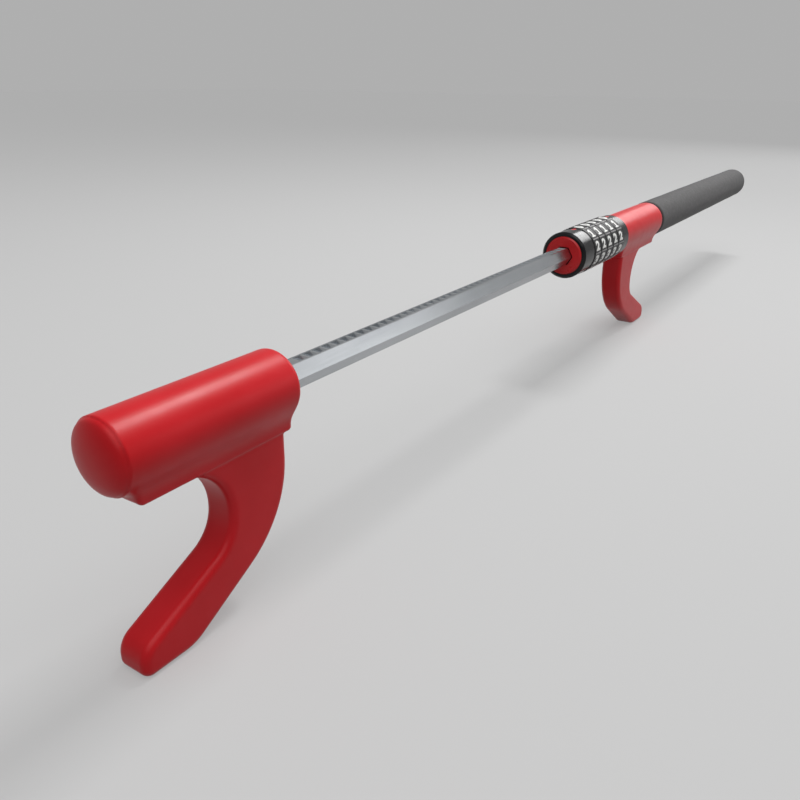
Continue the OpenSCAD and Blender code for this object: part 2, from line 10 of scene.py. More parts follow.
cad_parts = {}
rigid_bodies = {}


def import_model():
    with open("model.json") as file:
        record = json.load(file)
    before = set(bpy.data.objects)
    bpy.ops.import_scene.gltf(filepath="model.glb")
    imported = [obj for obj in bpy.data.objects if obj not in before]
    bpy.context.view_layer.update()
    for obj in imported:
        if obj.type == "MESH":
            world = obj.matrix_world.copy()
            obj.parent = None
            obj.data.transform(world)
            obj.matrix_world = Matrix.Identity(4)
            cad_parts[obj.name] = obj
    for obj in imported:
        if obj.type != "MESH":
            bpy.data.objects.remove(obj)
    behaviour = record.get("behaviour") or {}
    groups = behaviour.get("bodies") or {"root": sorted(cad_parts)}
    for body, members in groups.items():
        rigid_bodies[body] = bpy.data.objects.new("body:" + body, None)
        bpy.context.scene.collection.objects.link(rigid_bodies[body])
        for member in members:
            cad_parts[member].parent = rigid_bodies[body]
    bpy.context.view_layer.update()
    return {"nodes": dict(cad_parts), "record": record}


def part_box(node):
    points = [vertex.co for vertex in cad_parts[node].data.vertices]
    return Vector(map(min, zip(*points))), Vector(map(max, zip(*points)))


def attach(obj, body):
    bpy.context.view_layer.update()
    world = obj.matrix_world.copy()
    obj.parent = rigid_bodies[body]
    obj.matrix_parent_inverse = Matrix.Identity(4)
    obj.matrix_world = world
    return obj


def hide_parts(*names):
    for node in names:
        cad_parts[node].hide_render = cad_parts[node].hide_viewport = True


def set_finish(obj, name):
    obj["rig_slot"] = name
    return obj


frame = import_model()

# ---------------------------------------------------------------- sizes, in metres
MM = 0.001
HUB_SETBACK = 4 * MM          # the front hub starts this far behind the barrel's rim plane
BAR_Z = sum(corner.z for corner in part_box("foam_grip")) / 2
RIM_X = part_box("front_hub")[0].x - HUB_SETBACK
FRONT_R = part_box("front_cover")[1].z - BAR_Z
DOME_H = RIM_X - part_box("front_cover")[0].x
FRONT_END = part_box("front_cover")[1].x
RIM_ROUND = 0.6 * MM          # the edge between the front barrel and its dome
END_ROUND = 2.5 * MM          # the front head's rear end
HOUSING_X, HOUSING_END = (corner.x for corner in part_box("rear_cover"))
HOUSING_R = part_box("rear_cover")[1].z - BAR_Z
HOUSING_LEAD = 0.7 * MM       # the rear housing's front edge
HOUSING_ROUND = 4 * MM        # and its rear end
FIT_GAP = 0.05 * MM           # between a coat or sleeve and what goes through it
BAR_GAP = 0.06 * MM           # between the front coat and the bar
PAST = 1 * MM                 # a cutter runs this far past what it cuts

KEEL_HALF = 8.25 * MM         # half its width
KEEL_DROP = 18.3 * MM         # its underside is this far below the bar's axis
KEEL_EDGE = 1.3 * MM          # rounding along its sides
KEEL_FILLET = 5 * MM          # reach of the soft fillet between a barrel and its keel
KEEL_TOE_R = 2.5 * MM         # its lower front corner
KEEL_LEAD = 5.5 * MM          # how far the front keel starts behind the rim plane
KEEL_SETBACK = 11 * MM        # how far the rear keel starts behind the housing's front
HOOK_FILLET = 0.8 * MM        # between a keel's underside and its hook
HOOK_BACK = 3.5 * MM          # how far a keel runs past the hook's flat back
HOOK_HALF = 7.75 * MM         # half its width
HOOK_EDGE = 3.2 * MM          # rounding along its sides
FRONT_HOOK_X = FRONT_END - HOOK_BACK
REAR_HOOK_X = HOUSING_X + KEEL_SETBACK + HOOK_BACK

# A hook in side view. Reaches are from its flat back and drops are from the keel's underside.
STEM_W = 31 * MM
HOOK_REACH = 77 * MM
BELLY_REACH = 53.5 * MM       # where the flat foot begins
THROAT_REACH = 24 * MM        # how far the rounding of the throat may run under the keel
SHOULDER_DROP = 36.5 * MM     # where the back starts to slant
INNER_DROP = 33 * MM          # where the inside starts to slant
ARM_H = 11.5 * MM             # height of the tip
ROOT_IN = 2 * MM              # how deep its root sits in the keel
THROAT_IN = 0.3 * MM
THROAT_R = 22 * MM
INNER_R = 16.5 * MM
TIP_TOP_R = 9 * MM
TIP_R = 4 * MM
BELLY_R = 18 * MM
BACK_R = 45.6 * MM

GRIP_X, GRIP_END = (corner.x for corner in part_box("foam_grip"))
GRIP_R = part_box("foam_grip")[1].z - BAR_Z
TUBE_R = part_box("handle_tube")[1].z - BAR_Z
TUBE_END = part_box("end_plug")[1].x
DIAL_R = 16 * MM              # over a dial's drum, where the digits lie
DIALS = 5
DIGITS = 10

ON_AXIS = 1e-7                # a lathe point nearer the axis than this is a pole


# ---------------------------------------------------------------- meshes
def new_object(name, mesh, smooth=True):
    """Puts a mesh in the scene."""
    obj = bpy.data.objects.new(name, mesh)
    bpy.context.scene.collection.objects.link(obj)
    if smooth:
        mesh.polygons.foreach_set("use_smooth", [True] * len(mesh.polygons))
    return obj


def mesh_from(name, verts, faces):
    mesh = bpy.data.meshes.new(name)
    mesh.from_pydata([tuple(v) for v in verts], [], [tuple(f) for f in faces])
    mesh.validate()
    mesh.update()
    return mesh


def lathe(name, profile, steps, wobble):
    """Turns a closed outline of (x, radius) points about the bar, with poles on its axis."""
    verts, rings = [], []
    for x, r in profile:
        if r < ON_AXIS:
            rings.append([len(verts)] * steps)
            verts.append((x, 0, BAR_Z))
            continue
        ring = []
        for j in range(steps):
            a = 2 * math.pi * j / steps
            reach = r + wobble(x, a, r)
            ring.append(len(verts))
            verts.append((x, reach * math.sin(a), BAR_Z + reach * math.cos(a)))
        rings.append(ring)
    faces = []
    pairs = list(zip(rings, rings[1:]))
    if profile[0][1] > ON_AXIS:
        pairs.append((rings[-1], rings[0]))
    for a, b in pairs:
        for j in range(steps):
            k = (j + 1) % steps
            quad = [a[j], b[j], b[k], a[k]]
            quad = [v for i, v in enumerate(quad) if v not in quad[:i]]
            if len(quad) > 2:
                faces.append(quad)
    return mesh_from(name, verts, faces)


def cut(obj, *cutters):
    """Takes the cutters out of the object, and removes them."""
    for cutter in cutters:
        modifier = obj.modifiers.new("cut", "BOOLEAN")
        modifier.object = cutter
        modifier.operation = "DIFFERENCE"
        modifier.solver = "EXACT"
    graph = bpy.context.evaluated_depsgraph_get()
    mesh = bpy.data.meshes.new_from_object(obj.evaluated_get(graph))
    obj.modifiers.clear()
    obj.data = mesh
    for cutter in cutters:
        bpy.data.objects.remove(cutter)


def rod(x0, x1, r, sides=96):
    """A plain closed rod on the bar's axis, used only to cut with."""
    low, high = [], []
    for j in range(sides):
        a = 2 * math.pi * j / sides
        low.append((x0, r * math.cos(a), BAR_Z + r * math.sin(a)))
        high.append((x1, r * math.cos(a), BAR_Z + r * math.sin(a)))
    faces = [list(range(sides))[::-1], [sides + j for j in range(sides)]]
    faces += [[j, (j + 1) % sides, sides + (j + 1) % sides, sides + j] for j in range(sides)]
    return new_object("cutter", mesh_from("cutter", low + high, faces), smooth=False)


def copy_of(node):
    """A copy of a CAD node's mesh, used only to cut with."""
    return new_object("cutter", frame["nodes"][node].data.copy(), smooth=False)


# ---------------------------------------------------------------- distance shapes
TINY = 1e-9                   # keeps a division away from nothing
PROJECTIONS = 3               # how often a new mesh's points are moved onto the shape
FLATTEST = 0.3                # the least squared slope that such a move is divided by


def rounded(corners, steps=24):
    """A closed outline from (x, z, radius) corners, each rounded by an arc."""
    points = []
    n = len(corners)
    for i, (x, z, r) in enumerate(corners):
        b = np.array((x, z))
        if r == 0:
            points.append(b)
            continue
        u = np.array(corners[i - 1][:2]) - b
        w = np.array(corners[(i + 1) % n][:2]) - b
        u, w = u / np.linalg.norm(u), w / np.linalg.norm(w)
        half = math.acos(np.clip(u @ w, -1, 1)) / 2
        middle = b + (u + w) / np.linalg.norm(u + w) * r / math.sin(half)
        first, last = b + u * r / math.tan(half) - middle, b + w * r / math.tan(half) - middle
        a0, a1 = math.atan2(first[1], first[0]), math.atan2(last[1], last[0])
        sweep = (a1 - a0 + math.pi) % (2 * math.pi) - math.pi
        for k in range(steps + 1):
            a = a0 + sweep * k / steps
            points.append(middle + r * np.array((math.cos(a), math.sin(a))))
    return np.array(points)


def outline_distance(points, x, z):
    """Signed distance to a closed outline, negative inside."""
    best = np.full(np.broadcast(x, z).shape, np.inf)
    inside = np.zeros(best.shape, bool)
    for (ax, az), (bx, bz) in zip(points, np.roll(points, -1, 0)):
        ex, ez = bx - ax, bz - az
        t = np.clip(((x - ax) * ex + (z - az) * ez) / (ex * ex + ez * ez), 0, 1)
        best = np.minimum(best, (x - ax - t * ex) ** 2 + (z - az - t * ez) ** 2)
        crosses = (az > z) != (bz > z)
        inside ^= crosses & (x < ex * (z - az) / (ez if ez else TINY) + ax)
    return np.where(inside, -1, 1) * np.sqrt(best)


def rounded_corner(a, b, edge):
    """Distance to a shape bounded by two faces at a right angle, with their edge rounded."""
    a, b = a + edge, b + edge
    outside = np.sqrt(np.maximum(a, 0) ** 2 + np.maximum(b, 0) ** 2)
    return outside + np.minimum(np.maximum(a, b), 0) - edge


def slab_distance(points, half_w, edge, x, y, z):
    """An outline in side view, as wide as 2 * half_w, with its edges rounded."""
    return rounded_corner(outline_distance(points, x, z), np.abs(y) - half_w, edge)


def barrel_distance(x0, r, edge, x, y, z):
    """A round barrel about the bar, from x0 on, with its front end rounded."""
    return rounded_corner(x0 - x, np.hypot(y, z - BAR_Z) - r, edge)


def dome_distance(x0, height, r, x, y, z):
    """Half an ellipsoid in front of x0."""
    flat = ((x - x0) / height) ** 2 + (y / r) ** 2 + ((z - BAR_Z) / r) ** 2
    slope = ((x - x0) / height ** 2) ** 2 + (y / r ** 2) ** 2 + ((z - BAR_Z) / r ** 2) ** 2
    return np.sqrt(flat) * (np.sqrt(flat) - 1) / np.sqrt(slope + TINY)


def blend_union(a, b, k):
    """The union of two shapes, with a soft fillet where they meet."""
    h = np.maximum(k - np.abs(a - b), 0) / k
    return np.minimum(a, b) - h * h * k / 4


def surface_of(name, distance, low, high, step):
    """A smooth closed mesh where the distance is zero."""
    axes = [np.arange(a, b + step, step) for a, b in zip(low, high)]
    field = distance(*np.meshgrid(*axes, indexing="ij", sparse=True))
    nx, ny, nz = field.shape
    corner = {o: field[o[0]:nx - 1 + o[0], o[1]:ny - 1 + o[1], o[2]:nz - 1 + o[2]]
              for o in product((0, 1), repeat=3)}
    negative = sum((c < 0).astype(int) for c in corner.values())
    cells = np.argwhere((negative > 0) & (negative < 8))
    index = np.full((nx - 1, ny - 1, nz - 1), -1)
    index[tuple(cells.T)] = np.arange(len(cells))
    total, count = np.zeros((len(cells), 3)), np.zeros(len(cells))
    for o, axis in product(corner, range(3)):
        if o[axis]:
            continue
        far = tuple(1 if i == axis else o[i] for i in range(3))
        d0, d1 = corner[o][tuple(cells.T)], corner[far][tuple(cells.T)]
        crosses = (d0 < 0) != (d1 < 0)
        t = np.where(crosses, d0 / np.where(crosses, d0 - d1, 1), 0)
        total += (cells + np.array(o) + t[:, None] * np.eye(3)[axis]) * crosses[:, None]
        count += crosses
    verts = np.array(low) + total / count[:, None] * step
    for _ in range(PROJECTIONS):
        verts = onto_surface(distance, verts)
    faces = np.concatenate([net_faces(field < 0, index, axis) for axis in range(3)])
    return mesh_from(name, verts, faces)


def net_faces(inside, index, axis):
    """One face round each grid edge along the axis that goes through the surface."""
    b, c = [i for i in range(3) if i != axis]
    here = np.take(inside, range(inside.shape[axis] - 1), axis)
    there = np.take(inside, range(1, inside.shape[axis]), axis)
    edges = np.argwhere(here != there)
    quads = []
    for db, dc in ((-1, -1), (0, -1), (0, 0), (-1, 0)):
        cell = edges.copy()
        cell[:, b] += db
        cell[:, c] += dc
        quads.append(index[tuple(cell.T)])
    quads = np.stack(quads, 1)
    flip = here[tuple(edges.T)] == (axis == 1)
    return np.where(flip[:, None], quads[:, ::-1], quads)


def onto_surface(distance, verts, h=0.02 * MM):
    """Moves points along the shape's slope until they lie on it."""
    here = distance(*verts.T)
    slope = np.stack([distance(*(verts + h * axis).T) - here for axis in np.eye(3)], 1) / h
    size = np.maximum((slope ** 2).sum(1), FLATTEST)
    return verts - here[:, None] * slope / size[:, None]


# ---------------------------------------------------------------- the coats
def placed(corners, face_x, towards):
    """A rounded outline, measured from a hook's flat back and from the bar's axis."""
    points = rounded(corners)
    return np.stack([face_x + towards * points[:, 0], BAR_Z + points[:, 1]], 1)


def hook_corners():
    """Side view of a hook, from its flat back towards its tip, with its root inside the keel."""
    foot, root, throat = -BAR_Z, ROOT_IN - KEEL_DROP, THROAT_IN - KEEL_DROP
    return [
        (0, root, 0), (STEM_W + THROAT_REACH, root, 0), (STEM_W + THROAT_REACH, throat, 0),
        (STEM_W, throat, THROAT_R), (STEM_W, -KEEL_DROP - INNER_DROP, INNER_R),
        (HOOK_REACH, foot + ARM_H, TIP_TOP_R), (HOOK_REACH, foot, TIP_R),
        (BELLY_REACH, foot, BELLY_R), (0, -KEEL_DROP - SHOULDER_DROP, BACK_R),
    ]


def keel_corners(x0, end_x):
    """Side view of a keel, from x0 to a little past the end of its head, where it is cut off."""
    spare = 10 * MM
    x1 = end_x + spare
    return [(x0, 0, 0), (x1, 0, 0), (x1, -KEEL_DROP, 0), (x0, -KEEL_DROP, KEEL_TOE_R)]


def with_hook(head, keel, hook, end_x, end_round, x, y, z):
    """A head with its keel, both cut off flat at end_x, and the hook under the keel."""
    body = blend_union(head, slab_distance(keel, KEEL_HALF, KEEL_EDGE, x, y, z), KEEL_FILLET)
    ended = rounded_corner(body, x - end_x, end_round)
    return blend_union(ended, slab_distance(hook, HOOK_HALF, HOOK_EDGE, x, y, z), HOOK_FILLET)


front_keel = placed(keel_corners(RIM_X + KEEL_LEAD, FRONT_END), 0, 1)
front_hook = placed(hook_corners(), FRONT_HOOK_X, -1)
rear_keel = placed(keel_corners(HOUSING_X + KEEL_SETBACK, HOUSING_END), 0, 1)
rear_hook = placed(hook_corners(), REAR_HOOK_X, 1)


def front_shape(x, y, z):
    barrel = barrel_distance(RIM_X, FRONT_R, RIM_ROUND, x, y, z)
    dome = dome_distance(RIM_X, DOME_H, FRONT_R - RIM_ROUND, x, y, z)
    head = np.minimum(barrel, dome)
    return with_hook(head, front_keel, front_hook, FRONT_END, END_ROUND, x, y, z)


def rear_shape(x, y, z):
    barrel = barrel_distance(HOUSING_X, HOUSING_R, HOUSING_LEAD, x, y, z)
    return with_hook(barrel, rear_keel, rear_hook, HOUSING_END, HOUSING_ROUND, x, y, z)


def make_coat(name, shape, node):
    """A shape as a mesh, in the place of a CAD node."""
    low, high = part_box(node)
    margin = 2.5 * MM
    step = 0.6 * MM
    mesh = surface_of(name, shape, [c - margin for c in low], [c + margin for c in high], step)
    return new_object(name, mesh)


def front_coat():
    coat = make_coat("front_coat", front_shape, "front_cover")
    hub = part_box("front_hub")
    hub_r = hub[1].z - BAR_Z
    bar_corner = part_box("lock_bar")[1].y + BAR_GAP
    cut(coat, rod(hub[0].x, hub[1].x, hub_r), copy_of("front_hook_plate"),
        rod(hub[1].x - PAST, FRONT_END + PAST, bar_corner, sides=6))
    finish_piece(coat, "bar_set", "red_coat", "front_cover")


def rear_coat():
    coat = make_coat("rear_coat", rear_shape, "rear_cover")
    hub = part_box("rear_hub")
    hub_r = hub[1].y
    sleeve_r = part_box("core_sleeve")[1].y + FIT_GAP
    cut(coat, rod(hub[0].x, hub[1].x, hub_r), copy_of("rear_hook_plate"),
        rod(HOUSING_X - PAST, hub[0].x + PAST, sleeve_r),
        rod(hub[1].x - PAST, HOUSING_END + PAST, TUBE_R + FIT_GAP))
    finish_piece(coat, "lock_body", "red_coat", "rear_cover")


def finish_piece(obj, body, slot, *replaced):
    obj.data.polygons.foreach_set("use_smooth", [True] * len(obj.data.polygons))
    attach(obj, body)
    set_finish(obj, slot)
    if replaced:
        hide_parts(*replaced)


# ---------------------------------------------------------------- the foam grip
FOAM_UNEVEN = 0.03 * MM
FOAM_WAVES = ((61, 2, 0), (143, -3, 1.3), (87, 5, 0))  # along the grip per metre, around, start


def arc(cx, cr, r, a0, a1, steps):
    """Points (x, radius) on an arc; the angle 0 points along +X and 90 away from the bar."""
    angles = np.radians(np.linspace(a0, a1, steps + 1))
    return [(cx + r * math.cos(a), cr + r * math.sin(a)) for a in angles]


def foam_sleeve():
    """The grip: a long sleeve with a soft lip in front, closed by a round end."""
    lip, bore = 1.6 * MM, TUBE_R + FIT_GAP
    rings, ball_x = 170, GRIP_END - GRIP_R
    profile = [(TUBE_END + FIT_GAP, 0), (TUBE_END + FIT_GAP, bore), (GRIP_X, bore)]
    profile += arc(GRIP_X + lip, GRIP_R - lip, lip, 180, 90, 6)
    profile += [(x, GRIP_R) for x in np.linspace(GRIP_X + lip, ball_x, rings)[1:-1]]
    profile += arc(ball_x, 0, GRIP_R, 90, 0, 26)[:-1] + [(GRIP_END, 0)]

    def wobble(x, a, r):
        """The foam's outside is slightly uneven, and its bore is plain."""
        if r < GRIP_R - 2 * MM and x < ball_x:
            return 0
        wave = sum(math.sin(along * x + around * a + start) for along, around, start in FOAM_WAVES)
        return FOAM_UNEVEN * wave * min(1, r / GRIP_R)

    grip = new_object("foam_sleeve", lathe("foam_sleeve", profile, 96, wobble))
    finish_piece(grip, "lock_body", "grip_foam", "foam_grip")


# ---------------------------------------------------------------- the digits
DIGIT_H = 6.9 * MM
DIGIT_W = 6.3 * MM
ONE_WIDTH = 0.84              # the 1 is this much narrower than the other digits
DIGIT_SINK = 0.25 * MM        # under the dial's drum
DIGIT_RISE = 0.06 * MM        # over the dial's drum
BOLDNESS = (0.05, 0.043, 0.03, 0)  # parts of a digit's height, from the boldest
SLICE = 0.7 * MM              # digits are sliced this fine, so that they follow the dial's curve
MERGED = 1e-4                 # points of a digit closer than this become one
# The outline of the 1, as parts of its width and height
ONE = [(0.06, 0), (0.94, 0), (0.94, 0.17), (0.68, 0.17), (0.68, 1), (0.44, 1), (0.08, 0.82),
       (0.08, 0.62), (0.36, 0.72), (0.36, 0.17), (0.06, 0.17)]


def typeface_solid(text, bolder):
    """One digit of the built-in typeface, made bolder, as a flat solid."""
    curve = bpy.data.curves.new("glyph", "FONT")
    curve.body = text
    curve.size = 1
    curve.offset = bolder
    curve.extrude = 0.5
    curve.resolution_u = 6
    obj = bpy.data.objects.new("glyph", curve)
    bpy.context.scene.collection.objects.link(obj)
    graph = bpy.context.evaluated_depsgraph_get()
    mesh = bpy.data.meshes.new_from_object(obj.evaluated_get(graph))
    bpy.data.objects.remove(obj)
    bm = bmesh.new()
    bm.from_mesh(mesh)
    bpy.data.meshes.remove(mesh)
    bmesh.ops.remove_doubles(bm, verts=bm.verts, dist=MERGED)
    return bm


def font_digit(text):
    """The boldest digit whose outline doesn't cross itself, so that the solid is closed."""
    for bolder in BOLDNESS:
        bm = typeface_solid(text, bolder)
        if all(edge.is_manifold for edge in bm.edges):
            break
    return bm


def drawn_one():
    """The digit 1 with a flag and a foot, as a flat solid."""
    bm = bmesh.new()
    rings = [[bm.verts.new((x, y, z)) for x, y in ONE] for z in (-0.5, 0.5)]
    bm.faces.new(rings[0][::-1])
    bm.faces.new(rings[1])
    for i in range(len(ONE)):
        j = (i + 1) % len(ONE)
        bm.faces.new((rings[0][i], rings[0][j], rings[1][j], rings[1][i]))
    return bm


def glyph(text):
    """One digit as a thin flat solid, centred, as wide and as high as a digit on the dial."""
    bm = drawn_one() if text == "1" else font_digit(text)
    low = [min(v.co[i] for v in bm.verts) for i in range(2)]
    high = [max(v.co[i] for v in bm.verts) for i in range(2)]
    width = DIGIT_W * (ONE_WIDTH if text == "1" else 1)
    for v in bm.verts:
        v.co.x = ((v.co.x - low[0]) / (high[0] - low[0]) - 0.5) * width
        v.co.y = ((v.co.y - low[1]) / (high[1] - low[1]) - 0.5) * DIGIT_H
        v.co.z = DIGIT_RISE if v.co.z > 0 else -DIGIT_SINK
    for k in range(1, int(DIGIT_H / SLICE) + 1):
        y = -DIGIT_H / 2 + k * SLICE
        everything = bm.verts[:] + bm.edges[:] + bm.faces[:]
        bmesh.ops.bisect_plane(bm, geom=everything, plane_co=(0, y, 0), plane_no=(0, 1, 0))
    return bm


def digits_of(i):
    """The ten digits of one dial, wrapped round it."""
    low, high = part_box(f"dial_{i + 1}")
    middle = (low.x + high.x) / 2
    whole = bmesh.new()
    for k in range(DIGITS):
        bm = glyph(str(k))
        base = math.radians(k * 360 / DIGITS)
        for v in bm.verts:
            r, a = DIAL_R + v.co.z, base - v.co.y / DIAL_R
            v.co = (middle + v.co.x, -r * math.sin(a), BAR_Z + r * math.cos(a))
        part = bpy.data.meshes.new("part")
        bm.to_mesh(part)
        bm.free()
        whole.from_mesh(part)
        bpy.data.meshes.remove(part)
    mesh = bpy.data.meshes.new(f"digits_{i + 1}")
    whole.to_mesh(mesh)
    whole.free()
    obj = new_object(f"digits_{i + 1}", mesh, smooth=False)
    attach(obj, f"dial_set_{i + 1}")
    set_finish(obj, "white_nylon")


# ---------------------------------------------------------------- materials
NOISE_SPAN = (0.3, 0.7)       # noise seldom leaves it


class Material:
    """A node material that is built up step by step round one Principled shader."""

    def __init__(self, name, colour, roughness, metallic=0.0):
        self.material = bpy.data.materials.new(name)
        self.material.use_nodes = True
        self.tree = self.material.node_tree
        self.shader = self.tree.nodes["Principled BSDF"]
        self.shader.inputs["Base Color"].default_value = (*colour, 1)
        self.shader.inputs["Roughness"].default_value = roughness
        self.shader.inputs["Metallic"].default_value = metallic
        self.place = self.node("ShaderNodeTexCoord").outputs["Object"]
        self.bumped = None

    def node(self, kind, **values):
        made = self.tree.nodes.new(kind)
        for key, value in values.items():
            setattr(made, key, value)
        return made

    def link(self, source, target):
        self.tree.links.new(source, target)

    def noise(self, scale, detail=3.0, stretch=(1, 1, 1)):
        """Noise of a scale per metre, drawn out by the stretch."""
        mapping = self.node("ShaderNodeMapping")
        mapping.inputs["Scale"].default_value = stretch
        self.link(self.place, mapping.inputs["Vector"])
        noise = self.node("ShaderNodeTexNoise")
        noise.inputs["Scale"].default_value = scale
        noise.inputs["Detail"].default_value = detail
        self.link(mapping.outputs["Vector"], noise.inputs["Vector"])
        return noise.outputs["Fac"]

    def ramp(self, source, low, high):
        """Maps noise to a range of numbers."""
        made = self.node("ShaderNodeMapRange")
        made.inputs["From Min"].default_value, made.inputs["From Max"].default_value = NOISE_SPAN
        made.inputs["To Min"].default_value = low
        made.inputs["To Max"].default_value = high
        self.link(source, made.inputs["Value"])
        return made.outputs["Result"]

    def vary_roughness(self, source, low, high):
        self.link(self.ramp(source, low, high), self.shader.inputs["Roughness"])

    def vary_colour(self, source, first, second):
        mix = self.node("ShaderNodeMix", data_type="RGBA")
        mix.inputs["A"].default_value = (*first, 1)
        mix.inputs["B"].default_value = (*second, 1)
        self.link(self.ramp(source, 0, 1), mix.inputs["Factor"])
        self.link(mix.outputs["Result"], self.shader.inputs["Base Color"])
        return mix

    def wear(self, base, low, high, colour, patches):
        """Paints a paler colour, in patches, where the surface is further than low from the bar: a
        painted highlight for the light that ridges catch.
        """
        parts = self.node("ShaderNodeSeparateXYZ")
        self.link(self.place, parts.inputs[0])
        across = self.node("ShaderNodeCombineXYZ")
        self.link(parts.outputs["Y"], across.inputs["X"])
        self.link(parts.outputs["Z"], across.inputs["Y"])
        far = self.node("ShaderNodeVectorMath", operation="DISTANCE")
        self.link(across.outputs[0], far.inputs[0])
        far.inputs[1].default_value = (0, BAR_Z, 0)
        reach = self.node("ShaderNodeMapRange")
        reach.inputs["From Min"].default_value = low
        reach.inputs["From Max"].default_value = high
        self.link(far.outputs["Value"], reach.inputs["Value"])
        amount = self.node("ShaderNodeMath", operation="MULTIPLY")
        self.link(reach.outputs["Result"], amount.inputs[0])
        self.link(self.ramp(patches, 0.6, 1), amount.inputs[1])
        mix = self.node("ShaderNodeMix", data_type="RGBA")
        self.link(amount.outputs[0], mix.inputs["Factor"])
        self.link(base.outputs["Result"], mix.inputs["A"])
        mix.inputs["B"].default_value = (*colour, 1)
        self.link(mix.outputs["Result"], self.shader.inputs["Base Color"])

    def bump(self, source, height, strength=1.0):
        """Adds bump of a height in metres."""
        made = self.node("ShaderNodeBump")
        made.inputs["Strength"].default_value = strength
        made.inputs["Distance"].default_value = height
        self.link(source, made.inputs["Height"])
        if self.bumped:
            self.link(self.bumped, made.inputs["Normal"])
        self.bumped = made.outputs["Normal"]
        self.link(self.bumped, self.shader.inputs["Normal"])

    def specular(self, level):
        self.shader.inputs["Specular IOR Level"].default_value = level


def red_vinyl():
    m = Material("red_vinyl", (0.60, 0.008, 0.014), 0.36)
    m.vary_colour(m.noise(35, 4), (0.57, 0.006, 0.011), (0.63, 0.011, 0.018))
    m.vary_roughness(m.noise(180, 5), 0.33, 0.39)
    m.bump(m.noise(1500, 2), 0.010 * MM, 0.5)
    m.bump(m.noise(220, 2), 0.025 * MM, 0.3)
    m.specular(0.25)
    return m.material


def bar_steel():
    m = Material("bar_steel", (0.46, 0.48, 0.50), 0.26, 1.0)
    streaks = m.noise(1, 4, (14, 1400, 1400))
    m.vary_colour(m.noise(60, 4, (0.4, 1, 1)), (0.42, 0.44, 0.46), (0.50, 0.52, 0.54))
    m.vary_roughness(streaks, 0.21, 0.25)
    m.bump(streaks, 0.002 * MM, 0.4)
    return m.material


def plain_steel(name, colour, low, high):
    m = Material(name, colour, (low + high) / 2, 1.0)
    m.vary_roughness(m.noise(300, 4), low, high)
    darker, paler = (tuple(factor * c for c in colour) for factor in (0.86, 1.1))
    m.vary_colour(m.noise(90, 4), darker, paler)
    m.bump(m.noise(900, 3), 0.01 * MM, 0.5)
    return m.material


def black_gloss():
    m = Material("black_gloss", (0.008, 0.008, 0.009), 0.2)
    m.vary_roughness(m.noise(220, 5), 0.17, 0.23)
    m.vary_colour(m.noise(40, 3), (0.006, 0.006, 0.007), (0.011, 0.011, 0.012))
    m.bump(m.noise(900, 2), 0.004 * MM, 0.4)
    m.specular(0.22)
    return m.material


def black_satin():
    """The dials: satin black, with a painted highlight: pale grey painted in patches along the
    ridges between the digits, for the light they catch.
    """
    m = Material("black_satin", (0.010, 0.010, 0.011), 0.38)
    m.vary_roughness(m.noise(260, 5), 0.34, 0.44)
    mix = m.vary_colour(m.noise(90, 3), (0.007, 0.007, 0.008), (0.014, 0.014, 0.015))
    # painted highlight: the ridges' glint is painted into their colour as pale grey
    m.wear(mix, DIAL_R + 0.12 * MM, DIAL_R + 0.3 * MM, (0.34, 0.33, 0.33), m.noise(700, 4))
    m.bump(m.noise(1400, 3), 0.006 * MM, 0.5)
    m.specular(0.22)
    return m.material


def white_paint():
    m = Material("white_paint", (0.82, 0.82, 0.80), 0.5)
    m.vary_colour(m.noise(400, 4), (0.74, 0.74, 0.72), (0.88, 0.88, 0.86))
    m.vary_roughness(m.noise(700, 3), 0.4, 0.6)
    m.bump(m.noise(2500, 2), 0.01 * MM, 0.4)
    return m.material


def red_enamel(name):
    m = Material(name, (0.58, 0.008, 0.012), 0.3)
    m.vary_colour(m.noise(80, 3), (0.55, 0.007, 0.010), (0.61, 0.010, 0.014))
    m.vary_roughness(m.noise(300, 4), 0.27, 0.34)
    m.bump(m.noise(900, 2), 0.003 * MM, 0.4)
    m.specular(0.35)
    return m.material


def foam():
    m = Material("foam", (0.075, 0.073, 0.074), 0.8)
    cells = m.node("ShaderNodeTexVoronoi", feature="SMOOTH_F1")
    cells.inputs["Scale"].default_value = 1400
    m.link(m.place, cells.inputs["Vector"])
    m.vary_colour(m.noise(260, 5), (0.070, 0.068, 0.069), (0.080, 0.078, 0.079))
    m.vary_roughness(m.noise(400, 3), 0.62, 0.80)
    m.bump(cells.outputs["Distance"], 0.07 * MM, 0.6)
    m.bump(m.noise(420, 4), 0.03 * MM, 0.4)
    m.specular(0.25)
    m.shader.inputs["Sheen Weight"].default_value = 0.06
    m.shader.inputs["Sheen Roughness"].default_value = 0.5
    return m.material


def rubber():
    m = Material("rubber", (0.02, 0.02, 0.02), 0.6)
    m.vary_roughness(m.noise(400, 3), 0.5, 0.7)
    m.vary_colour(m.noise(120, 3), (0.016, 0.016, 0.016), (0.028, 0.028, 0.028))
    m.bump(m.noise(1200, 3), 0.02 * MM, 0.4)
    return m.material


SLOT_MATERIALS = {
    "red_coat": red_vinyl(),
    "bar_steel": bar_steel(),
    "plain_steel": plain_steel("plain_steel", (0.42, 0.42, 0.43), 0.3, 0.45),
    "black_head": black_gloss(),
    "black_dial": black_satin(),
    "red_disc": red_enamel("red_enamel"),
    "red_mark": red_enamel("red_inlay"),
    "seal_rubber": rubber(),
    "ring_brass": plain_steel("brass", (0.72, 0.52, 0.24), 0.25, 0.4),
    "spring_steel": plain_steel("spring_steel", (0.56, 0.56, 0.57), 0.2, 0.34),
    "white_nylon": white_paint(),
    "grip_foam": foam(),
}


def dress(obj, slot):
    obj.data.materials.clear()
    obj.data.materials.append(SLOT_MATERIALS[slot])


# ---------------------------------------------------------------- everything is put together
front_coat()
rear_coat()
foam_sleeve()
for i in range(DIALS):
    digits_of(i)

